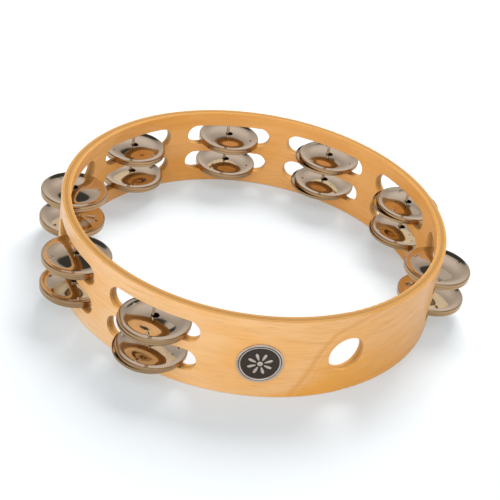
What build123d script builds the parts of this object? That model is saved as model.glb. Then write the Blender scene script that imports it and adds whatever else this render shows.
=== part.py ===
"""Headless wooden tambourine with two rows of jingles.

The hoop lies flat: its axis is Z, its lower rim stands on Z = 0, and the thumb hole
faces -Y. Lengths are millimetres, angles are degrees about Z from +X.
"""

import os
from math import asin, atan, atan2, cos, degrees, hypot, radians, sin, sqrt

from build123d import *

# Hoop: three bent plies glued one inside the other
hoop_diameter = 254.0
hoop_depth = 57.15
outer_ply_thickness = 2.3
middle_ply_thickness = 1.4
inner_ply_thickness = 2.5
rim_rounding = 0.9

# Slots: eight columns of two, one above the other
column_count = 8
column_pitch = 35.7
first_column_angle = -36.0
slot_half_length = 31.2
slot_height = 15.0
row_spacing = 21.5
slot_edge_rounding = 0.5

# Thumb hole and the badge beside it
thumb_hole_diameter = 24.0
thumb_hole_angle = 270.0
thumb_hole_rounding = 0.8
badge_diameter = 28.5
badge_angle = 245.25
badge_centre_height = 26.1
badge_thickness = 0.9
badge_field_diameter = 23.5
badge_groove_diameter = 25.6
badge_groove_width = 0.5
badge_relief = 0.35
petal_count = 8
petal_length = 5.2
petal_width = 2.4
petal_circle_diameter = 10.4
badge_boss_diameter = 3.6

# Jingle pins: one long nail for each column, driven in from the lower rim
pin_diameter = 2.0
pin_recess = 1.5
pin_length = 51.5

# Jingles: dished discs of nickel sheet with a flange turned towards the mate
disc_diameter = 44.4
disc_height = 3.6
disc_hole_diameter = 5.2
sheet_thickness = 0.5
rim_corner_radius = 0.8
# Radius, height below the crown and slope of the sheet's outer face, hub to shoulder
dish_stations = [(2.6, 0.0, 0.0), (6.0, -0.3, -0.16), (12.0, -1.5, -0.24), (16.5, -2.1, 0.0)]
shoulder_height = -1.4
shoulder_slope = 0.2
dimple_count = 3
dimple_circle_radius = 16.4
dimple_radius = 1.2
dimple_tip_radius = 0.4
dimple_depth = 0.35

# How the loose jingles lie: shifted on their pins, each turned by its own angle
lean_angle = -33.0
top_disc_shift = 1.25
bottom_disc_shifts = {
    "lower": (1.25, 0.5, -1.25, 1.25, 1.25, 1.25, 1.25, -0.25),
    "upper": (1.25, -1.25, -1.25, 1.25, 1.25, 1.25, 1.25, 0.75),
}
disc_turns = {
    "lower": (10, -70, -89, -40, 9, -35, 20, -25),
    "upper": (-2, -42, -54, -42, -58, -15, -67, -10),
}
mate_turn = 47.0

outer_radius = hoop_diameter / 2
middle_outer_radius = outer_radius - outer_ply_thickness
inner_outer_radius = middle_outer_radius - middle_ply_thickness
inner_radius = inner_outer_radius - inner_ply_thickness
pin_circle_radius = (middle_outer_radius + inner_outer_radius) / 2
column_angles = [first_column_angle + column_pitch * step for step in range(column_count)]
row_heights = {
    "lower": (hoop_depth - row_spacing) / 2,
    "upper": (hoop_depth + row_spacing) / 2,
}

os.makedirs("parts", exist_ok=True)


def finish(builder, name):
    """Label a finished piece and write its STEP file."""
    builder.part.label = name
    export_step(builder.part, f"parts/{name}.step")


def radial_plane(angle, height, radius=0.0):
    """Plane facing outwards along the radius at this angle."""
    outward = (cos(radians(angle)), sin(radians(angle)), 0)
    foot = (radius * outward[0], radius * outward[1], height)
    return Plane(origin=foot, x_dir=(0, 0, 1), z_dir=outward)


# Cutters, used on every ply
cutter_reach = outer_radius + 5
cutter_start = inner_radius - 5
end_radius = slot_height / 2
end_centre_angle = degrees(asin((slot_half_length - end_radius) / pin_circle_radius))

with BuildPart() as slot_cutter:
    with BuildSketch(Plane.XZ):
        with Locations(((cutter_start + cutter_reach) / 2, 0)):
            Rectangle(cutter_reach - cutter_start, slot_height)
    revolve(axis=Axis.Z, revolution_arc=end_centre_angle)
    mirror(about=Plane.XZ)
    for end_angle in (-end_centre_angle, end_centre_angle):
        with BuildSketch(radial_plane(end_angle, 0, cutter_start)):
            Circle(end_radius)
        extrude(amount=cutter_reach - cutter_start)

with BuildPart() as pin_hole_cutter:
    with BuildSketch(Plane.XY):
        with Locations((pin_circle_radius, 0)):
            Circle(pin_diameter / 2)
    extrude(amount=pin_recess + pin_length)

with BuildPart() as thumb_hole_cutter:
    with BuildSketch(radial_plane(thumb_hole_angle, hoop_depth / 2, cutter_start)):
        Circle(thumb_hole_diameter / 2)
    extrude(amount=cutter_reach - cutter_start)


def cut_openings():
    """Cut the slots, the pin holes and the thumb hole through the ply being built."""
    slot_places = [
        Location((0, 0, height), (0, 0, angle))
        for angle in column_angles
        for height in row_heights.values()
    ]
    with Locations(*slot_places):
        add(slot_cutter.part, mode=Mode.SUBTRACT)
    with Locations(*[Location((0, 0, 0), (0, 0, angle)) for angle in column_angles]):
        add(pin_hole_cutter.part, mode=Mode.SUBTRACT)
    add(thumb_hole_cutter.part, mode=Mode.SUBTRACT)


def rim_edges(builder, radius):
    """The two circular rim edges of a ply at this radius."""
    circles = builder.edges().filter_by(GeomType.CIRCLE)
    return circles.filter_by(lambda edge: abs(edge.radius - radius) < 0.01)


def opening_edges(builder, radius, wanted):
    """The edges of the wanted openings, "slots" or "thumb hole", on the face at this radius."""

    def on_face(edge):
        points = (edge @ 0, edge @ 0.4)
        return all(abs(hypot(point.X, point.Y) - radius) < 0.01 for point in points)

    def clear_of_rims(edge):
        return 2 * rim_rounding < (edge @ 0.4).Z < hoop_depth - 2 * rim_rounding

    def wanted_opening(edge):
        point = edge @ 0.5
        angle = degrees(atan2(point.Y, point.X)) % 360
        beside_thumb_hole = abs(angle - thumb_hole_angle) < column_pitch / 2
        return beside_thumb_hole == (wanted == "thumb hole")

    edges = builder.edges().filter_by(GeomType.LINE, reverse=True)
    return edges.filter_by(on_face).filter_by(clear_of_rims).filter_by(wanted_opening)


with BuildPart() as outer_ply:
    with BuildSketch(Plane.XY):
        Circle(outer_radius)
        Circle(middle_outer_radius, mode=Mode.SUBTRACT)
    extrude(amount=hoop_depth)
    fillet(rim_edges(outer_ply, outer_radius), radius=rim_rounding)
    cut_openings()
    fillet(opening_edges(outer_ply, outer_radius, "thumb hole"), radius=thumb_hole_rounding)
    fillet(opening_edges(outer_ply, outer_radius, "slots"), radius=slot_edge_rounding)
finish(outer_ply, "outer_ply")

with BuildPart() as middle_ply:
    with BuildSketch(Plane.XY):
        Circle(middle_outer_radius)
        Circle(inner_outer_radius, mode=Mode.SUBTRACT)
    extrude(amount=hoop_depth)
    cut_openings()
finish(middle_ply, "middle_ply")

with BuildPart() as inner_ply:
    with BuildSketch(Plane.XY):
        Circle(inner_outer_radius)
        Circle(inner_radius, mode=Mode.SUBTRACT)
    extrude(amount=hoop_depth)
    fillet(rim_edges(inner_ply, inner_radius), radius=rim_rounding)
    cut_openings()
    fillet(opening_edges(inner_ply, inner_radius, "thumb hole"), radius=thumb_hole_rounding)
    fillet(opening_edges(inner_ply, inner_radius, "slots"), radius=slot_edge_rounding)
finish(inner_ply, "inner_ply")

# Eight long nails, each through both slots of its column
with BuildPart() as jingle_pins:
    with BuildSketch(Plane.XY.offset(pin_recess)):
        with PolarLocations(pin_circle_radius, column_count, first_column_angle,
                            column_pitch * column_count):
            Circle(pin_diameter / 2)
    extrude(amount=pin_length)
finish(jingle_pins, "jingle_pins")

# Thin badge bent to the hoop, with a grooved bezel round a sunk field and a rosette
sunk_radius = outer_radius + badge_thickness - badge_relief

with BuildPart() as badge_sinking:
    with BuildSketch(Plane.XY.offset(badge_centre_height - badge_diameter)):
        Circle(cutter_reach)
        Circle(sunk_radius, mode=Mode.SUBTRACT)
    extrude(amount=2 * badge_diameter)
    with BuildSketch(radial_plane(badge_angle, badge_centre_height, cutter_start)):
        Circle((badge_groove_diameter + badge_groove_width) / 2)
        Circle((badge_groove_diameter - badge_groove_width) / 2, mode=Mode.SUBTRACT)
        Circle(badge_field_diameter / 2)
        Circle(badge_boss_diameter / 2, mode=Mode.SUBTRACT)
        with PolarLocations(petal_circle_diameter / 2, petal_count):
            Ellipse(petal_length / 2, petal_width / 2, mode=Mode.SUBTRACT)
    extrude(amount=2 * cutter_reach, mode=Mode.INTERSECT)

with BuildPart() as badge:
    with BuildSketch(Plane.XY.offset(badge_centre_height - badge_diameter)):
        Circle(outer_radius + badge_thickness)
        Circle(outer_radius, mode=Mode.SUBTRACT)
    extrude(amount=2 * badge_diameter)
    with BuildSketch(radial_plane(badge_angle, badge_centre_height, cutter_start)):
        Circle(badge_diameter / 2)
    extrude(amount=2 * cutter_reach, mode=Mode.INTERSECT)
    add(badge_sinking.part, mode=Mode.SUBTRACT)
finish(badge, "badge")


def through_sheet(station):
    """The inner-face point straight through the sheet from a station of the outer face."""
    radius, height, slope = station
    stretch = sheet_thickness / sqrt(1 + slope ** 2)
    return (radius + slope * stretch, height - stretch)


# One jingle, crown up, with the top of its crown on Z = 0
shoulder_angle = atan(shoulder_slope)
corner_centre_radius = disc_diameter / 2 - rim_corner_radius
corner_centre_height = shoulder_height - rim_corner_radius * cos(shoulder_angle)
shoulder_radius = corner_centre_radius - rim_corner_radius * sin(shoulder_angle)
stations = dish_stations + [(shoulder_radius, shoulder_height, shoulder_slope)]
outer_points = [(radius, height) for radius, height, slope in stations]
inner_points = [through_sheet(station) for station in stations]
directions = [(1, slope) for radius, height, slope in stations]
corner_start = 90 + degrees(shoulder_angle)
inner_corner_radius = rim_corner_radius - sheet_thickness
dimple_height = dish_stations[-1][1]

with BuildPart() as jingle_disc:
    with BuildSketch(Plane.XZ):
        with BuildLine():
            Spline(*outer_points, tangents=directions)
            CenterArc((corner_centre_radius, corner_centre_height), rim_corner_radius,
                      corner_start, -corner_start)
            Polyline((disc_diameter / 2, corner_centre_height),
                     (disc_diameter / 2, -disc_height),
                     (disc_diameter / 2 - sheet_thickness, -disc_height),
                     (disc_diameter / 2 - sheet_thickness, corner_centre_height))
            CenterArc((corner_centre_radius, corner_centre_height), inner_corner_radius,
                      0, corner_start)
            Spline(*inner_points, tangents=directions)
            Line(inner_points[0], outer_points[0])
        make_face()
    revolve(axis=Axis.Z)
    with PolarLocations(dimple_circle_radius, dimple_count):
        with Locations((0, 0, dimple_height - sheet_thickness)):
            Cone(dimple_tip_radius, dimple_radius, dimple_depth,
                 align=(Align.CENTER, Align.CENTER, Align.MAX))
            Cylinder(dimple_radius, sheet_thickness / 2,
                     align=(Align.CENTER, Align.CENTER, Align.MIN))
        with Locations((0, 0, dimple_height)):
            Cone(dimple_tip_radius, dimple_radius, dimple_depth,
                 align=(Align.CENTER, Align.CENTER, Align.MAX), mode=Mode.SUBTRACT)

# Four jingles to a column: a pair in each slot, flanges meeting and crowns outwards
lean = (cos(radians(lean_angle)), sin(radians(lean_angle)))
for column, column_angle in enumerate(column_angles):
    pin_x = pin_circle_radius * cos(radians(column_angle))
    pin_y = pin_circle_radius * sin(radians(column_angle))
    for row, row_height in row_heights.items():
        slot_floor = row_height - slot_height / 2
        bottom_shift = bottom_disc_shifts[row][column]
        turn = disc_turns[row][column]
        bottom_place = Location(
            (pin_x + bottom_shift * lean[0], pin_y + bottom_shift * lean[1], slot_floor),
            (180, 0, turn + mate_turn))
        top_place = Location(
            (pin_x + top_disc_shift * lean[0], pin_y + top_disc_shift * lean[1],
             slot_floor + 2 * disc_height),
            (0, 0, turn))
        for side, place in (("bottom", bottom_place), ("top", top_place)):
            with BuildPart() as jingle:
                with Locations(place):
                    add(jingle_disc.part)
            finish(jingle, f"jingle_{column + 1}_{row}_{side}")

print("pieces written:", len(os.listdir("parts")))
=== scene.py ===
"""Looks of the headless wooden tambourine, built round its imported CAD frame.

Metres, +Z up. The hoop stands on Z = 0 round the Z axis and its thumb hole faces -Y.
"""

from math import atan2, cos, hypot, pi, radians, sin

import bpy
import numpy as np
from mathutils import Matrix, Vector


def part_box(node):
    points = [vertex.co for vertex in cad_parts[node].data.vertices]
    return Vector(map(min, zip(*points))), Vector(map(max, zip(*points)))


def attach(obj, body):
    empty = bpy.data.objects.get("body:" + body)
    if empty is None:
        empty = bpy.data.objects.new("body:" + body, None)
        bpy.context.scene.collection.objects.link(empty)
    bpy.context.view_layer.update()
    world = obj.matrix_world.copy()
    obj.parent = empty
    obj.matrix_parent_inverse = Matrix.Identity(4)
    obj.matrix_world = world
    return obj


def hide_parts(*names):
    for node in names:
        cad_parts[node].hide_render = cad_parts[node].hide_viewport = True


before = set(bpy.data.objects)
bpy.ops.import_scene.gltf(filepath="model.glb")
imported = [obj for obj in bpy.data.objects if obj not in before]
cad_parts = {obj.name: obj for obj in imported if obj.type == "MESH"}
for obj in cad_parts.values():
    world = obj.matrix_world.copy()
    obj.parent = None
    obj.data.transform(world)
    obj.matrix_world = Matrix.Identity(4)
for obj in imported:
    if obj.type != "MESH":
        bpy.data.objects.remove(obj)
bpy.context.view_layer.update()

MM = 0.001
scene = bpy.context.scene

# The hoop, from its CAD nodes
HOOP_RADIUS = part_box("outer_ply")[1].x
HOOP_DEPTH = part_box("outer_ply")[1].z
MIDDLE_PLY_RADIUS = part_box("middle_ply")[1].x
INNER_PLY_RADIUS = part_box("inner_ply")[1].x

# The viewpoint stands in front and to the left of the thumb hole, looking down on the hoop
VIEW_AZIMUTH = radians(237.0)
VIEW_ELEVATION = radians(33.774)
VIEW_DISTANCE = 0.8406
VIEW_ROLL = radians(9.864)
VIEW_SHIFT = (0.00105, -0.00848)
VIEW_HEIGHT = 0.030
LENS = 90.43


# ---------------------------------------------------------------- node helpers

def connect(tree, value, socket):
    """Link a socket, or set a plain number, vector or colour on the input."""
    if isinstance(value, bpy.types.NodeSocket):
        tree.links.new(value, socket)
    elif isinstance(value, (tuple, list)) and len(value) == 3 and len(socket.default_value) == 4:
        socket.default_value = (*value, 1.0)
    else:
        socket.default_value = value


def add(tree, kind, inputs=(), **settings):
    """Add a node, set its properties and feed its inputs by name or place."""
    node = tree.nodes.new(kind)
    for name, value in settings.items():
        setattr(node, name, value)
    for name, value in dict(inputs).items():
        connect(tree, value, node.inputs[name])
    return node


def calc(tree, operation, a, b=0.0, c=0.0):
    """One Math node."""
    node = add(tree, "ShaderNodeMath", operation=operation)
    for socket, value in zip(node.inputs, (a, b, c)):
        connect(tree, value, socket)
    return node.outputs[0]


def step(tree, value, low, high, start=0.0, end=1.0):
    """A smooth step from start to end as value goes from low to high."""
    node = add(tree, "ShaderNodeMapRange", interpolation_type="SMOOTHSTEP")
    for socket, given in zip(node.inputs, (value, low, high, start, end)):
        connect(tree, given, socket)
    return node.outputs[0]


def band(tree, value, low, high, soft):
    """1 between low and high, falling to 0 over soft on both sides."""
    rise = step(tree, value, low - soft, low + soft)
    fall = step(tree, value, high - soft, high + soft, 1.0, 0.0)
    return calc(tree, "MULTIPLY", rise, fall)


def blend(tree, factor, a, b, mode="MIX"):
    """Mix two colours."""
    node = add(tree, "ShaderNodeMix", data_type="RGBA", blend_type=mode)
    connect(tree, factor, node.inputs[0])
    connect(tree, a, node.inputs[6])
    connect(tree, b, node.inputs[7])
    return node.outputs[2]


def noise(tree, vector, scale, detail=3.0, roughness=0.5, distortion=0.0):
    """Noise value, stretched by a scale for each axis."""
    stretched = add(tree, "ShaderNodeVectorMath", {0: vector, 1: scale}, operation="MULTIPLY")
    node = add(tree, "ShaderNodeTexNoise",
               {"Vector": stretched.outputs[0], "Scale": 1.0, "Detail": detail,
                "Roughness": roughness, "Distortion": distortion})
    return node.outputs[0]


def new_material(name):
    """A material and its tree and main shader."""
    material = bpy.data.materials.new(name)
    material.use_nodes = True
    tree = material.node_tree
    return material, tree, tree.nodes["Principled BSDF"]


def bump(tree, shader, height, distance, strength=1.0):
    """Bump the shader by a height of 0 to 1, which stands for this distance."""
    node = add(tree, "ShaderNodeBump", {"Strength": strength, "Distance": distance, "Height": height})
    tree.links.new(node.outputs[0], shader.inputs["Normal"])


# ---------------------------------------------------------------- wood

# The hooked growth line: where it starts along the ply, its rise and its level run over the hole
HOOK_FOOT = 39.0 * MM
HOOK_SLOPE = 2.3
LEVEL_START = 57.0 * MM
LEVEL_SLOPE = 0.36
LEVEL_HEIGHT = 45.5 * MM
HOOK_CORNER = 20.0 * MM
HOOK_WARP = 9.0 * MM
# Cosines of the two slopes, which turn a height above the line into a distance from it
CLIMB_SCALE = 0.40
LEVEL_SCALE = 0.94

# How much the figure, the wood below the line and the hoop's right-hand side warm its front, which
# runs paler to the left and warmer to the right
FIGURE_SHARE = 0.46
BELOW_LINE_SHARE = 0.22
TOWARDS_RIGHT_SHARE = 0.42
GROWTH_TONE = (0.68, 0.29, 0.045)
CREST_STRENGTH = 0.68
ECHO_STRENGTH = 0.11
ECHO_SPACING = 9.0 * MM
LATE_WOOD_STRENGTH = 0.17
FIBRE_STRENGTH = 0.25
PORE_STRENGTH = 0.44

# Cut wood: its darker fibres, painted shade on its rim tops and the glue in its joints
END_FIBRE_SHADE = 0.70
RIM_PAINTED_SHADE = 0.66
RIM_PAINTED_SHADE_STRENGTH = 0.62
GLUE_SHADE = 0.42
GLUE_STRENGTH = 0.7


def shade(tone, share):
    """A darker version of a colour."""
    return tuple(share * value for value in tone)


def hoop_grain(tree, seam_azimuth):
    """Place in a bent ply: grain vector, along the grain, out from the axis, up; and how cut it is.

    The length along the grain starts and ends at the ply's glued scarf seam. The last value is 1
    on sawn walls and rims and 0 on the two faces.
    """
    place = add(tree, "ShaderNodeTexCoord").outputs["Object"]
    axes = add(tree, "ShaderNodeSeparateXYZ", {0: place}).outputs
    turn = seam_azimuth + pi
    across = calc(tree, "ADD", calc(tree, "MULTIPLY", axes[0], cos(turn)),
                  calc(tree, "MULTIPLY", axes[1], sin(turn)))
    side = calc(tree, "SUBTRACT", calc(tree, "MULTIPLY", axes[1], cos(turn)),
                calc(tree, "MULTIPLY", axes[0], sin(turn)))
    angle = calc(tree, "ARCTAN2", side, across)
    along = calc(tree, "MULTIPLY", angle, HOOP_RADIUS)
    flat = add(tree, "ShaderNodeCombineXYZ", {0: axes[0], 1: axes[1], 2: 0.0}).outputs[0]
    depth = add(tree, "ShaderNodeVectorMath", {0: flat}, operation="LENGTH").outputs["Value"]
    grain = add(tree, "ShaderNodeCombineXYZ", {0: along, 1: depth, 2: axes[2]}).outputs[0]
    outward = add(tree, "ShaderNodeVectorMath", {0: flat}, operation="NORMALIZE").outputs[0]
    normal = add(tree, "ShaderNodeNewGeometry").outputs["Normal"]
    facing = add(tree, "ShaderNodeVectorMath", {0: normal, 1: outward},
                 operation="DOT_PRODUCT").outputs["Value"]
    cut = step(tree, calc(tree, "ABSOLUTE", facing), 0.25, 0.85, 1.0, 0.0)
    return grain, along, depth, axes[2], cut


def cathedral(tree, along, height, grain):
    """Height above the hooked growth line that rises beside the badge and passes the thumb hole."""
    climb = calc(tree, "MULTIPLY", calc(tree, "SUBTRACT", along, HOOK_FOOT), HOOK_SLOPE)
    past_corner = calc(tree, "SUBTRACT", along, LEVEL_START)
    level = calc(tree, "ADD", calc(tree, "MULTIPLY", past_corner, LEVEL_SLOPE), LEVEL_HEIGHT)
    hook = calc(tree, "SMOOTH_MIN", climb, level, HOOK_CORNER)
    waver = calc(tree, "SUBTRACT", noise(tree, grain, (22, 60, 90), 3.0), 0.5)
    warp = calc(tree, "MULTIPLY", waver, HOOK_WARP)
    above = calc(tree, "ADD", calc(tree, "SUBTRACT", height, hook), warp)
    tilt = step(tree, along, 50 * MM, 66 * MM, CLIMB_SCALE, LEVEL_SCALE)
    return calc(tree, "MULTIPLY", above, tilt)


def hooked_heart(tree, growth, along, heart):
    """Warmth of the front of the hoop: the figure, the wood below the line and the right side."""
    below = step(tree, growth, -9 * MM, 3 * MM, 1.0, 0.0)
    turn = step(tree, along, -70 * MM, 60 * MM, 0.0, 1.0)
    figure_part = calc(tree, "MULTIPLY", heart, FIGURE_SHARE)
    below_part = calc(tree, "MULTIPLY", below, BELOW_LINE_SHARE)
    turn_part = calc(tree, "MULTIPLY", turn, TOWARDS_RIGHT_SHARE)
    return calc(tree, "ADD", figure_part, calc(tree, "ADD", below_part, turn_part))


def growth_line(tree, growth, along):
    """Strength of the hooked line and of the faint echoes below it."""
    crest = band(tree, growth, -1.9 * MM, 0.8 * MM, 2.2 * MM)
    ripple = calc(tree, "SINE", calc(tree, "MULTIPLY", growth, 2 * pi / ECHO_SPACING))
    echo = calc(tree, "MULTIPLY", ripple, band(tree, growth, -40 * MM, 2 * MM, 4 * MM))
    echo = calc(tree, "MULTIPLY", calc(tree, "MAXIMUM", echo, 0.0), ECHO_STRENGTH)
    tone = calc(tree, "ADD", calc(tree, "MULTIPLY", crest, CREST_STRENGTH), echo)
    nearby = band(tree, along, 34 * MM, 170 * MM, 16 * MM)
    return calc(tree, "MULTIPLY", tone, nearby)


def cut_wood(tree, grain, height, cut_tone):
    """Colour of sawn walls and rims, darker and more orange than the faces, with painted shade on the
    rim tops.
    """
    end_fibre = noise(tree, grain, (260.0, 3600.0, 900.0), 3.0, 0.6)
    colour = blend(tree, step(tree, end_fibre, 0.35, 0.68), cut_tone,
                   shade(cut_tone, END_FIBRE_SHADE))
    # Painted shade: the rim tops are darkened to offset the key light that falls on them
    rim_painted_shade = step(tree, height, HOOP_DEPTH - 1.0 * MM, HOOP_DEPTH - 0.5 * MM, 0.0, RIM_PAINTED_SHADE_STRENGTH)
    return blend(tree, rim_painted_shade, colour, shade(cut_tone, RIM_PAINTED_SHADE))


def wood(name, tones, cut_tone, seam_azimuth, offset, hooked=False):
    """Lacquered, straight-grained wood bent round the hoop, with darker cut edges.

    The tones are pale sapwood, warmer heartwood and the dark of growth lines and pores.
    """
    pale, warm, ring = tones
    material, tree, shader = new_material(name)
    grain, along, depth, height, cut = hoop_grain(tree, seam_azimuth)
    grain = add(tree, "ShaderNodeVectorMath", {0: grain, 1: offset}, operation="ADD").outputs[0]

    # Broad colour figure, then growth lines that wander along the ply
    figure = noise(tree, grain, (9.0, 60.0, 26.0), 3.0, 0.5, 0.8)
    heart = step(tree, figure, 0.36, 0.66)
    if hooked:
        growth = cathedral(tree, along, height, grain)
        heart = hooked_heart(tree, growth, along, heart)
    colour = blend(tree, heart, pale, warm)
    wander = noise(tree, grain, (7.0, 60.0, 16.0), 2.0, 0.5, 0.4)
    line = calc(tree, "ADD", calc(tree, "MULTIPLY", height, 150.0),
                calc(tree, "MULTIPLY", wander, 9.0))
    wave = calc(tree, "SINE", calc(tree, "MULTIPLY", line, 2 * pi))
    late = step(tree, wave, 0.35, 1.0)
    patchy = step(tree, noise(tree, grain, (12.0, 60.0, 40.0), 2.0), 0.42, 0.62)
    late = calc(tree, "MULTIPLY", calc(tree, "MULTIPLY", late, patchy), LATE_WOOD_STRENGTH)
    colour = blend(tree, late, colour, ring)
    if hooked:
        colour = blend(tree, growth_line(tree, growth, along), colour, GROWTH_TONE)

    # Fine fibres and short dark pores
    fibre = noise(tree, grain, (45.0, 900.0, 1250.0), 4.0, 0.6)
    fibre_tone = step(tree, fibre, 0.30, 0.70, 0.0, 1.0)
    colour = blend(tree, calc(tree, "MULTIPLY", fibre_tone, FIBRE_STRENGTH), colour, ring)
    dashes = noise(tree, grain, (75.0, 1500.0, 1700.0), 2.0, 0.45)
    pore = step(tree, dashes, 0.60, 0.72)
    colour = blend(tree, calc(tree, "MULTIPLY", pore, PORE_STRENGTH), colour, ring)
    colour = blend(tree, cut, colour, cut_wood(tree, grain, height, cut_tone))

    # Glue lines where this ply meets its neighbours
    for joint in (MIDDLE_PLY_RADIUS, INNER_PLY_RADIUS):
        glue = band(tree, depth, joint - 0.30 * MM, joint + 0.20 * MM, 0.16 * MM)
        seen = calc(tree, "MULTIPLY", cut, GLUE_STRENGTH)
        colour = blend(tree, calc(tree, "MULTIPLY", glue, seen), colour, shade(cut_tone, GLUE_SHADE))

    connect(tree, colour, shader.inputs["Base Color"])
    satin = step(tree, fibre, 0.2, 0.8, 0.34, 0.48)
    rough = calc(tree, "ADD", satin, calc(tree, "MULTIPLY", cut, 0.14))
    connect(tree, rough, shader.inputs["Roughness"])
    shader.inputs["Coat Weight"].default_value = 0.2
    shader.inputs["Coat Roughness"].default_value = 0.18
    shader.inputs["Specular IOR Level"].default_value = 0.3
    relief = calc(tree, "SUBTRACT", calc(tree, "MULTIPLY", fibre, 0.6),
                  calc(tree, "MULTIPLY", pore, 0.5))
    bump(tree, shader, relief, 0.04 * MM, 0.5)
    return material


# ---------------------------------------------------------------- metal, enamel and floor

FLANGE_START = 21.5 * MM
FLANGE_END = 21.9 * MM
FLANGE_ROUGHNESS = 0.06
TURNING_PITCH = 0.35 * MM


def nickel(name, tint, tarnish, flange_painted_reflection, low_roughness, high_roughness):
    """Pressed, plated sheet: polished, faintly turned, with tarnish towards its edge.

    The flange colour darkens a jingle's turned edge to bronze: a painted reflection of dark
    surroundings, not the metal's own colour.
    """
    material, tree, shader = new_material(name)
    place = add(tree, "ShaderNodeTexCoord").outputs["Object"]
    axes = add(tree, "ShaderNodeSeparateXYZ", {0: place}).outputs
    flat = add(tree, "ShaderNodeCombineXYZ", {0: axes[0], 1: axes[1], 2: 0.0}).outputs[0]
    radius = add(tree, "ShaderNodeVectorMath", {0: flat}, operation="LENGTH").outputs["Value"]
    cloud = noise(tree, place, (90.0, 90.0, 300.0), 4.0, 0.6)
    edge = step(tree, radius, 19.5 * MM, 22.2 * MM)
    stain = calc(tree, "MULTIPLY", step(tree, cloud, 0.45, 0.75),
                 calc(tree, "ADD", calc(tree, "MULTIPLY", edge, 0.45), 0.18))
    flange = step(tree, radius, FLANGE_START, FLANGE_END)
    # Painted reflection: the flange is darkened to bronze as if it mirrored dark surroundings
    colour = blend(tree, flange, blend(tree, stain, tint, tarnish), flange_painted_reflection)
    connect(tree, colour, shader.inputs["Base Color"])
    shader.inputs["Metallic"].default_value = 1.0
    polish = step(tree, cloud, 0.3, 0.8, low_roughness, high_roughness)
    connect(tree, calc(tree, "ADD", polish, calc(tree, "MULTIPLY", flange, FLANGE_ROUGHNESS)),
            shader.inputs["Roughness"])
    turning = calc(tree, "SINE", calc(tree, "MULTIPLY", radius, 2 * pi / TURNING_PITCH))
    waviness = noise(tree, place, (160.0, 160.0, 160.0), 2.0, 0.5)
    relief = calc(tree, "ADD", calc(tree, "MULTIPLY", turning, 0.006), waviness)
    bump(tree, shader, relief, 0.035 * MM, 0.6)
    return material


def drawn_steel(name, tint, streak):
    """Drawn wire: fine scratches along the pin and a faint brown bloom."""
    material, tree, shader = new_material(name)
    place = add(tree, "ShaderNodeTexCoord").outputs["Object"]
    scratch = noise(tree, place, (5000.0, 5000.0, 160.0), 3.0, 0.6)
    bloom = noise(tree, place, (260.0, 260.0, 120.0), 3.0, 0.5)
    colour = blend(tree, step(tree, bloom, 0.5, 0.75, 0.0, 0.6), tint, streak)
    connect(tree, colour, shader.inputs["Base Color"])
    shader.inputs["Metallic"].default_value = 1.0
    connect(tree, step(tree, scratch, 0.3, 0.7, 0.16, 0.32), shader.inputs["Roughness"])
    bump(tree, shader, scratch, 0.01 * MM, 0.6)
    return material


def enamel(name, tint):
    """Smooth baked enamel with a faint orange-peel surface."""
    material, tree, shader = new_material(name)
    place = add(tree, "ShaderNodeTexCoord").outputs["Object"]
    speckle = noise(tree, place, (2600.0, 2600.0, 2600.0), 2.0, 0.5)
    lighter = tuple(value * 1.8 + 0.002 for value in tint)
    connect(tree, blend(tree, step(tree, speckle, 0.35, 0.7), tint, lighter),
            shader.inputs["Base Color"])
    connect(tree, step(tree, speckle, 0.2, 0.8, 0.30, 0.42), shader.inputs["Roughness"])
    shader.inputs["Specular IOR Level"].default_value = 0.35
    peel = noise(tree, place, (900.0, 900.0, 900.0), 2.0, 0.5)
    bump(tree, shader, peel, 0.02 * MM, 0.5)
    return material


FLOOR_TONES = ((0.49, 0.505, 0.52), (0.51, 0.525, 0.54))
FLOOR_GLOW_TINT = (0.84, 0.95, 1.0)
FLOOR_GLOW = 0.33


def stage_white(name):
    """Plain matt white floor, faintly lit from beneath so that shadows stay light."""
    material, tree, shader = new_material(name)
    place = add(tree, "ShaderNodeTexCoord").outputs["Object"]
    tooth = noise(tree, place, (400.0, 400.0, 400.0), 2.0, 0.5)
    connect(tree, blend(tree, tooth, *FLOOR_TONES), shader.inputs["Base Color"])
    shader.inputs["Roughness"].default_value = 0.9
    shader.inputs["Specular IOR Level"].default_value = 0.1
    shader.inputs["Emission Color"].default_value = (*FLOOR_GLOW_TINT, 1.0)
    shader.inputs["Emission Strength"].default_value = FLOOR_GLOW
    return material


# ---------------------------------------------------------------- the materials

# Each ply's pale, warm and growth-line colours
OUTER_TONES = ((0.86, 0.565, 0.305), (0.81, 0.37, 0.052), (0.60, 0.26, 0.05))
MIDDLE_TONES = ((0.46, 0.22, 0.07), (0.40, 0.19, 0.06), (0.28, 0.12, 0.035))
INNER_TONES = ((0.83, 0.44, 0.14), (0.77, 0.355, 0.06), (0.58, 0.25, 0.045))
CUT_TONE = (0.65, 0.335, 0.092)
CORE_CUT_TONE = (0.54, 0.27, 0.075)
SEAM_BEHIND = radians(57.0)
SEAM_IN_FRONT = radians(228.0)

# Metal colours: clean and tarnished, then a painted dark reflection on a jingle's flange
JINGLE_TINT = (0.73, 0.622, 0.485)
JINGLE_TARNISH = (0.50, 0.38, 0.23)
FLANGE_PAINTED_REFLECTION = (0.41, 0.265, 0.14)
BADGE_TINT = (0.62, 0.54, 0.475)
BADGE_TARNISH = (0.46, 0.38, 0.31)
PIN_TINT = (0.62, 0.54, 0.44)
PIN_BLOOM = (0.42, 0.30, 0.18)
ENAMEL_TINT = (0.020, 0.012, 0.007)

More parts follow.
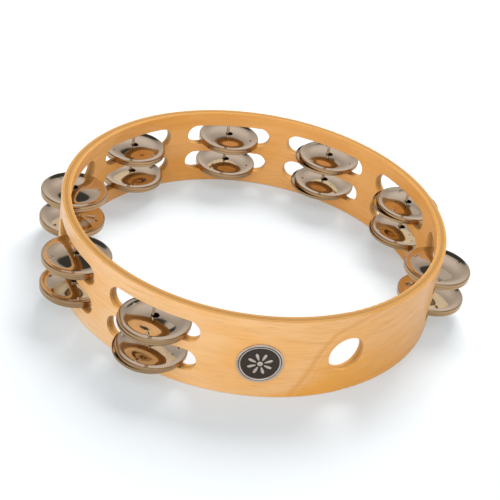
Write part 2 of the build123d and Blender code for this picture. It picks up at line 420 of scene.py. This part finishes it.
outer_wood = wood("lacquered_outer_ply", OUTER_TONES, CUT_TONE, SEAM_BEHIND,
                  (0.31, 0.0, 0.02), True)
middle_wood = wood("lacquered_middle_ply", MIDDLE_TONES, CORE_CUT_TONE, SEAM_IN_FRONT,
                   (0.9, 0.0, 0.3))
inner_wood = wood("lacquered_inner_ply", INNER_TONES, CUT_TONE, SEAM_IN_FRONT,
                  (1.7, 0.0, 0.7))
jingle_nickel = nickel("plated_jingle", JINGLE_TINT, JINGLE_TARNISH, FLANGE_PAINTED_REFLECTION, 0.05, 0.13)
pin_steel = drawn_steel("drawn_pin", PIN_TINT, PIN_BLOOM)
badge_silver = nickel("badge_bezel", BADGE_TINT, BADGE_TARNISH, BADGE_TINT, 0.18, 0.30)
badge_dark = enamel("badge_field", ENAMEL_TINT)
floor_white = stage_white("white_floor")


# ---------------------------------------------------------------- mesh helpers

def make_object(name, vertices, faces, materials, face_materials=None, smooth=True):
    """A mesh object from plain lists, at the origin."""
    mesh = bpy.data.meshes.new(name)
    mesh.from_pydata([tuple(v) for v in vertices], [], faces)
    mesh.validate()
    for material in materials:
        mesh.materials.append(material)
    if face_materials is not None:
        mesh.polygons.foreach_set("material_index", face_materials)
    mesh.polygons.foreach_set("use_smooth", [smooth] * len(mesh.polygons))
    mesh.update()
    piece = bpy.data.objects.new(name, mesh)
    scene.collection.objects.link(piece)
    return piece


def ring_faces(rings, count, closed=True, start=0):
    """Quads between rings of count points each; closed joins the last ring to the first."""
    faces = []
    for ring in range(rings if closed else rings - 1):
        following = (ring + 1) % rings
        for item in range(count):
            beside = (item + 1) % count
            faces.append((start + ring * count + item, start + ring * count + beside,
                          start + following * count + beside, start + following * count + item))
    return faces


# ---------------------------------------------------------------- jingles

# All in millimetres
DISC_RADIUS = 22.2
DISC_HEIGHT = 3.6
HUB_RADIUS = 2.6
SHEET = 0.5
CORNER = 0.8
# Each rim stops this short of its mate's, so that two rims never share a plane
RIM_GAP = 0.005
# Radius, height below the crown and slope of the outer face, hub to valley
DISH = [(2.6, -0.005, -0.05), (6.0, -0.34, -0.15), (13.0, -1.72, -0.22), (17.2, -2.15, 0.0)]
SHOULDER_HEIGHT = -1.4
SHOULDER_SLOPE = 0.2
DIMPLES = 3
DIMPLE_CIRCLE = 16.4
DIMPLE_RADIUS = 1.5
DIMPLE_DEPTH = 0.6
# Height of the CAD dimples' tips below the crown, and how far out their flat tips reach
CAD_DIMPLE_TIP = -2.45
CAD_DIMPLE_TIP_REACH = 0.45
SHOULDER_ANGLE = atan2(SHOULDER_SLOPE, 1)
SHOULDER_RADIUS = DISC_RADIUS - CORNER * (1 + sin(SHOULDER_ANGLE))
CORNER_CENTRE_HEIGHT = SHOULDER_HEIGHT - CORNER * cos(SHOULDER_ANGLE)
STATIONS = DISH + [(SHOULDER_RADIUS, SHOULDER_HEIGHT, SHOULDER_SLOPE)]


def dish_height(radius):
    """Height of the outer face, a smooth curve through the stations."""
    for (r0, z0, m0), (r1, z1, m1) in zip(STATIONS, STATIONS[1:]):
        if radius <= r1 or r1 == SHOULDER_RADIUS:
            span = r1 - r0
            t = (radius - r0) / span
            return ((2 * t**3 - 3 * t**2 + 1) * z0 + (t**3 - 2 * t**2 + t) * span * m0
                    + (3 * t**2 - 2 * t**3) * z1 + (t**3 - t**2) * span * m1)


def dimple(radius, azimuth):
    """How far the sheet is pressed down here by the nearest dimple."""
    pitch = 2 * pi / DIMPLES
    nearest = round(azimuth / pitch) * pitch
    x = radius * cos(azimuth - nearest) - DIMPLE_CIRCLE
    y = radius * sin(azimuth - nearest)
    share = min(hypot(x, y) / DIMPLE_RADIUS, 1.0)
    return DIMPLE_DEPTH * (1 - share**1.6) ** 1.5


def disc_section():
    """The closed section of the pressed sheet: radius, height and whether dimples press it."""
    fine = list(np.arange(14.9, 18.0, 0.26))
    radii = sorted([2.75, 3.2, 4.0, 5.0, 6.0, 7.2, 8.4, 9.6, 10.8, 12.0, 13.0, 14.0]
                   + fine + [18.6, 19.4, 20.2, 20.8, SHOULDER_RADIUS])
    section = [(HUB_RADIUS, -0.25, False), (HUB_RADIUS, -0.1, False),
               (HUB_RADIUS + 0.05, dish_height(HUB_RADIUS) - 0.02, False)]
    section += [(radius, dish_height(radius), True) for radius in radii]
    for turn in np.linspace(pi / 2 + SHOULDER_ANGLE, 0, 8)[1:]:
        section.append((DISC_RADIUS - CORNER + CORNER * cos(turn),
                        CORNER_CENTRE_HEIGHT + CORNER * sin(turn), False))
    lip = 0.09
    rim = -DISC_HEIGHT + RIM_GAP
    section += [(DISC_RADIUS, -DISC_HEIGHT + 0.5, False), (DISC_RADIUS, -DISC_HEIGHT + lip, False),
                (DISC_RADIUS - lip, rim, False), (DISC_RADIUS - SHEET + lip, rim, False),
                (DISC_RADIUS - SHEET, -DISC_HEIGHT + lip, False),
                (DISC_RADIUS - SHEET, CORNER_CENTRE_HEIGHT, False)]
    for turn in np.linspace(0, pi / 2, 4)[1:]:
        section.append((DISC_RADIUS - CORNER + (CORNER - SHEET) * cos(turn),
                        CORNER_CENTRE_HEIGHT + (CORNER - SHEET) * sin(turn), False))
    inner = [20.4, 19.0, 17.8, 17.2, 16.8, 16.4, 16.0, 15.6, 15.0, 13.5, 12.0, 10.0, 8.0, 6.0, 4.0]
    section += [(radius, dish_height(radius) - SHEET, True) for radius in inner]
    section += [(HUB_RADIUS + 0.05, dish_height(HUB_RADIUS) - SHEET, False)]
    return section


def disc_azimuths():
    """Stations round the disc, closer together across each dimple."""
    fine_half = radians(5.6)
    sector = 2 * pi / DIMPLES
    stations = []
    for sector_number in range(DIMPLES):
        centre = sector_number * sector
        stations += list(centre + np.linspace(-fine_half, fine_half, 15))
        stations += list(centre + np.linspace(fine_half, sector - fine_half, 25)[1:-1])
    return stations


def jingle_mesh():
    """One jingle, crown up, its crown's top on Z = 0."""
    section = disc_section()
    azimuths = disc_azimuths()
    vertices = []
    for azimuth in azimuths:
        for radius, height, pressed in section:
            depth = dimple(radius, azimuth) if pressed else 0.0
            vertices.append((radius * cos(azimuth) * MM, radius * sin(azimuth) * MM,
                             (height - depth) * MM))
    faces = ring_faces(len(azimuths), len(section))
    piece = make_object("jingle_pattern", vertices, faces, [jingle_nickel])
    mesh = piece.data
    bpy.data.objects.remove(piece)
    return mesh


def dimple_turn(node, crown_height, pointing):
    """The azimuth of a CAD jingle's first dimple about its own centre."""
    low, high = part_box(node)
    centre = (low + high) / 2
    tip = crown_height + pointing * CAD_DIMPLE_TIP * MM
    turns = []
    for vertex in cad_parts[node].data.vertices:
        across = vertex.co - centre
        radius = hypot(across.x, across.y) / MM
        at_tip = abs(vertex.co.z - tip) < 0.02 * MM
        if at_tip and abs(radius - DIMPLE_CIRCLE) < CAD_DIMPLE_TIP_REACH:
            turns.append(atan2(across.y, across.x) * DIMPLES)
    if not turns:
        return 0.0
    return atan2(sum(sin(t) for t in turns), sum(cos(t) for t in turns)) / DIMPLES


def place_jingles():
    """A detailed jingle for each CAD one, crown up on top of a pair and crown down below."""
    pattern = jingle_mesh()
    for node in sorted(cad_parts):
        if not node.startswith("jingle_") or node == "jingle_pins":
            continue
        low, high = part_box(node)
        centre = (low + high) / 2
        crown_up = node.endswith("_top")
        crown = high.z if crown_up else low.z
        turn = dimple_turn(node, crown, 1 if crown_up else -1)
        facing = Matrix.Identity(4) if crown_up else Matrix.Rotation(pi, 4, "X")
        # The turn goes into the mesh, because a turned object's box measures too large
        mesh = pattern.copy()
        mesh.transform(Matrix.Rotation(turn, 4, "Z") @ facing)
        piece = bpy.data.objects.new(node.replace("jingle", "disc"), mesh)
        scene.collection.objects.link(piece)
        piece.location = (centre.x, centre.y, crown)
        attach(piece, node)
        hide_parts(node)


place_jingles()


# ---------------------------------------------------------------- hoop and pins

for ply, material in (("outer_ply", outer_wood), ("middle_ply", middle_wood),
                      ("inner_ply", inner_wood)):
    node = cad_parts[ply]
    node.data.materials.clear()
    node.data.materials.append(material)

PIN_RADIUS = 1.0
PIN_POINTS = 20
PIN_CIRCLE = (MIDDLE_PLY_RADIUS + INNER_PLY_RADIUS) / 2


def jingle_columns():
    """Azimuth of each column's pin, from the CAD pins' vertices."""
    azimuths = []
    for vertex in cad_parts["jingle_pins"].data.vertices:
        azimuths.append(atan2(vertex.co.y, vertex.co.x))
    azimuths.sort()
    groups = [[azimuths[0]]]
    for azimuth in azimuths[1:]:
        if azimuth - groups[-1][-1] > radians(10):
            groups.append([])
        groups[-1].append(azimuth)
    return [(group[0] + group[-1]) / 2 for group in groups]


def make_pins():
    """Eight nails with a short point, as one piece."""
    low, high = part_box("jingle_pins")
    centres = []
    for azimuth in jingle_columns():
        centres.append((PIN_CIRCLE * cos(azimuth), PIN_CIRCLE * sin(azimuth)))
    bottom, top = low.z / MM, high.z / MM
    profile = [(0.0, bottom), (0.85, bottom), (PIN_RADIUS, bottom + 0.15),
               (PIN_RADIUS, bottom + 8), (PIN_RADIUS, (bottom + top) / 2),
               (PIN_RADIUS, top - 2.5), (0.6, top - 0.9), (0.0, top)]
    vertices, faces = [], []
    for x, y in centres:
        start = len(vertices)
        for radius, height in profile[1:-1]:
            for point in range(PIN_POINTS):
                turn = 2 * pi * point / PIN_POINTS
                vertices.append((x + radius * MM * cos(turn), y + radius * MM * sin(turn),
                                 height * MM))
        faces += ring_faces(len(profile) - 2, PIN_POINTS, False, start)
        last = start + (len(profile) - 3) * PIN_POINTS
        faces.append(tuple(start + point for point in reversed(range(PIN_POINTS))))
        tip = len(vertices)
        vertices.append((x, y, top * MM))
        faces += [(last + p, last + (p + 1) % PIN_POINTS, tip) for p in range(PIN_POINTS)]
    piece = make_object("jingle_nails", vertices, faces, [pin_steel])
    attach(piece, "frame")
    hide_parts("jingle_pins")


make_pins()


# ---------------------------------------------------------------- badge

badge_low, badge_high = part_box("badge")
badge_centre = (badge_low + badge_high) / 2
BADGE_AZIMUTH = atan2(badge_centre.y, badge_centre.x)
FIELD_HEIGHT = 0.45 * MM
BEZEL_HEIGHT = 0.88 * MM
GROOVE_DEPTH = 0.3 * MM
PETALS = 8
PETAL_RELIEF = 0.32 * MM
PETAL_FOOT = FIELD_HEIGHT - 0.02 * MM


def on_hoop(sideways, up, out):
    """A point on the badge: its place across the hoop's outer face and height above it."""
    azimuth = BADGE_AZIMUTH + sideways / HOOP_RADIUS
    radius = HOOP_RADIUS + out
    return (radius * cos(azimuth), radius * sin(azimuth), badge_centre.z + up)


def make_badge():
    """Grooved silver bezel round a dark enamel field, bent to the hoop."""
    sunk = BEZEL_HEIGHT - GROOVE_DEPTH
    # Radius in millimetres, height and material of each ring: 0 silver, 1 enamel
    rings = [(1.5, FIELD_HEIGHT, 1), (4.0, FIELD_HEIGHT, 1), (6.5, FIELD_HEIGHT, 1),
             (9.0, FIELD_HEIGHT, 1), (11.0, FIELD_HEIGHT, 1), (11.6, FIELD_HEIGHT, 1),
             (11.72, FIELD_HEIGHT + 0.05 * MM, 0), (11.8, BEZEL_HEIGHT - 0.06 * MM, 0),
             (11.9, BEZEL_HEIGHT, 0), (12.35, BEZEL_HEIGHT, 0),
             (12.45, BEZEL_HEIGHT - 0.05 * MM, 0), (12.52, sunk, 1), (12.98, sunk, 1),
             (13.05, BEZEL_HEIGHT - 0.05 * MM, 0),
             (13.15, BEZEL_HEIGHT, 0), (13.6, BEZEL_HEIGHT + 0.01 * MM, 0),
             (13.95, BEZEL_HEIGHT - 0.10 * MM, 0), (14.15, BEZEL_HEIGHT - 0.30 * MM, 0),
             (14.24, BEZEL_HEIGHT - 0.55 * MM, 0), (14.24, 0.0, 0)]
    points = 120
    vertices = [on_hoop(0, 0, FIELD_HEIGHT)]
    faces, slots = [], []
    for radius, height, slot in rings:
        for point in range(points):
            turn = 2 * pi * point / points
            vertices.append(on_hoop(radius * MM * cos(turn), radius * MM * sin(turn), height))
    for point in range(points):
        faces.append((0, 1 + point, 1 + (point + 1) % points))
        slots.append(1)
    for ring in range(len(rings) - 1):
        for point in range(points):
            beside = (point + 1) % points
            inner, outer = 1 + ring * points, 1 + (ring + 1) * points
            faces.append((inner + point, outer + point, outer + beside, inner + beside))
            slots.append(rings[ring + 1][2])
    back = len(vertices)
    vertices.append(on_hoop(0, 0, 0))
    last = 1 + (len(rings) - 1) * points
    for point in range(points):
        faces.append((back, last + (point + 1) % points, last + point))
        slots.append(0)
    piece = make_object("badge_plate", vertices, faces, [badge_silver, badge_dark], slots)
    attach(piece, "frame")
    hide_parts("badge")


def make_rosette():
    """Raised petals and a centre boss on the enamel, a plain flower of eight."""
    boundary = 32
    # Place across and up, turn, half length and half width of each dome, in millimetres
    domes = [(0.0, 0.0, 0.0, 1.75, 1.75)]
    for petal in range(PETALS):
        turn = 2 * pi * (petal + 0.5) / PETALS
        domes.append((5.15 * cos(turn), 5.15 * sin(turn), turn, 2.75, 1.25))
    vertices, faces = [], []
    for across, up, turn, long_half, short_half in domes:
        start = len(vertices)
        for share, height in ((1.0, 0.0), (0.97, 0.7), (0.88, 0.95), (0.55, 1.0)):
            for point in range(boundary):
                angle = 2 * pi * point / boundary
                x = long_half * share * cos(angle)
                y = short_half * share * sin(angle)
                # Petals narrow towards the centre of the flower
                y *= 1.0 if long_half == short_half else 0.72 + 0.28 * x / long_half
                vertices.append(on_hoop((across + x * cos(turn) - y * sin(turn)) * MM,
                                        (up + x * sin(turn) + y * cos(turn)) * MM,
                                        PETAL_FOOT + PETAL_RELIEF * height))
        faces += ring_faces(4, boundary, False, start)
        centre = len(vertices)
        vertices.append(on_hoop(across * MM, up * MM, PETAL_FOOT + PETAL_RELIEF))
        last = start + 3 * boundary
        faces += [(last + p, last + (p + 1) % boundary, centre) for p in range(boundary)]
        faces.append(tuple(start + p for p in reversed(range(boundary))))
    piece = make_object("badge_rosette", vertices, faces, [badge_silver])
    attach(piece, "frame")


make_badge()
make_rosette()


# ---------------------------------------------------------------- floor, light and camera

def make_floor():
    """A plain white floor under the lower rim."""
    half = 4.0
    corners = [(-half, -half, 0), (half, -half, 0), (half, half, 0), (-half, half, 0)]
    floor = make_object("floor", corners, [(0, 1, 2, 3)], [floor_white], smooth=False)


# Brightness of the world: the sweep, near the horizon and higher up, then what is above it
SWEEP_LEVEL = 0.53
HORIZON_GAIN = 0.17
UPPER_GAIN = -0.12
DARK_LEVEL = 0.05
CEILING_LEVEL = 1.0
FRONT_LEVEL = 1.4
BOX_LEVEL = 0.5
SWEEP_TINT = (1.0, 0.915, 0.885)
DARK_TINT = (0.97, 0.99, 1.0)
BOX_TINT = (1.0, 0.96, 0.92)


def make_world():
    """A pale sweep all round, a dark band above it, a soft box to the right and a light ceiling.

    Azimuths are in degrees to the right of straight ahead, elevations in degrees.
    """
    world = bpy.data.worlds.new("studio")
    scene.world = world
    world.use_nodes = True
    tree = world.node_tree
    background = tree.nodes["Background"]
    direction = add(tree, "ShaderNodeTexCoord").outputs["Generated"]
    axes = add(tree, "ShaderNodeSeparateXYZ", {0: direction}).outputs
    away = VIEW_AZIMUTH - pi
    ahead = calc(tree, "ADD", calc(tree, "MULTIPLY", axes[0], cos(away)),
                 calc(tree, "MULTIPLY", axes[1], sin(away)))
    right = calc(tree, "SUBTRACT", calc(tree, "MULTIPLY", axes[0], sin(away)),
                 calc(tree, "MULTIPLY", axes[1], cos(away)))
    azimuth = calc(tree, "MULTIPLY", calc(tree, "ARCTAN2", right, ahead), 180 / pi)
    elevation = calc(tree, "MULTIPLY", calc(tree, "ARCSINE", axes[2]), 180 / pi)
    near_horizon = step(tree, elevation, 14.0, 46.0, HORIZON_GAIN, UPPER_GAIN)
    sweep = calc(tree, "ADD", near_horizon, SWEEP_LEVEL)
    dark = step(tree, elevation, 41.0, 45.0)
    sweep = calc(tree, "ADD", calc(tree, "MULTIPLY", sweep, calc(tree, "SUBTRACT", 1.0, dark)),
                 calc(tree, "MULTIPLY", dark, DARK_LEVEL))
    ceiling = step(tree, elevation, 68.0, 78.0, 0.0, CEILING_LEVEL)
    behind_viewer = calc(tree, "MULTIPLY", step(tree, ahead, -0.45, 0.15, 1.0, 0.0),
                         step(tree, elevation, 36.0, 50.0))
    box = calc(tree, "MULTIPLY", band(tree, azimuth, 14.0, 62.0, 2.0),
               band(tree, elevation, 43.0, 60.0, 1.5))
    level = calc(tree, "ADD", sweep, calc(tree, "MULTIPLY", box, BOX_LEVEL))
    level = calc(tree, "ADD", level, calc(tree, "MAXIMUM", ceiling,
                                          calc(tree, "MULTIPLY", behind_viewer, FRONT_LEVEL)))
    tint = blend(tree, dark, SWEEP_TINT, DARK_TINT)
    tint = blend(tree, box, tint, BOX_TINT)
    connect(tree, tint, background.inputs["Color"])
    connect(tree, level, background.inputs["Strength"])


LIGHT_DISTANCE = 1.4


def make_light(name, azimuth, elevation, size, power):
    """A square soft box aimed at the hoop, which shiny metal doesn't show."""
    light = bpy.data.lights.new(name, "AREA")
    light.energy = power
    light.size = size
    piece = bpy.data.objects.new(name, light)
    scene.collection.objects.link(piece)
    place = Vector((cos(elevation) * cos(azimuth), cos(elevation) * sin(azimuth), sin(elevation)))
    piece.location = place * LIGHT_DISTANCE
    piece.rotation_euler = (-place).to_track_quat("-Z", "Y").to_euler()
    piece.visible_glossy = False


def make_camera():
    """The camera, tilted to one side as the viewpoint is."""
    towards = Vector((cos(VIEW_AZIMUTH), sin(VIEW_AZIMUTH), 0))
    back = towards * cos(VIEW_ELEVATION) + Vector((0, 0, sin(VIEW_ELEVATION)))
    right = Vector((-towards.y, towards.x, 0))
    up = back.cross(right)
    target = right * VIEW_SHIFT[0] + up * VIEW_SHIFT[1] + Vector((0, 0, VIEW_HEIGHT))
    rolled_right = right * cos(VIEW_ROLL) + up * sin(VIEW_ROLL)
    rolled_up = up * cos(VIEW_ROLL) - right * sin(VIEW_ROLL)
    camera = bpy.data.objects.new("camera", bpy.data.cameras.new("camera"))
    scene.collection.objects.link(camera)
    turn = Matrix((rolled_right, rolled_up, back)).transposed().to_4x4()
    turn.translation = target + back * VIEW_DISTANCE
    camera.matrix_world = turn
    camera.data.sensor_width = 36.0
    camera.data.lens = LENS
    camera.data.clip_end = 50.0
    scene.camera = camera


make_floor()
make_world()
behind = VIEW_AZIMUTH - pi
make_light("key", behind - radians(8), radians(49), 0.8, 27.0)
make_light("fill", VIEW_AZIMUTH - radians(22), radians(18), 0.9, 6.4)
make_camera()
scene.view_settings.view_transform = "Standard"
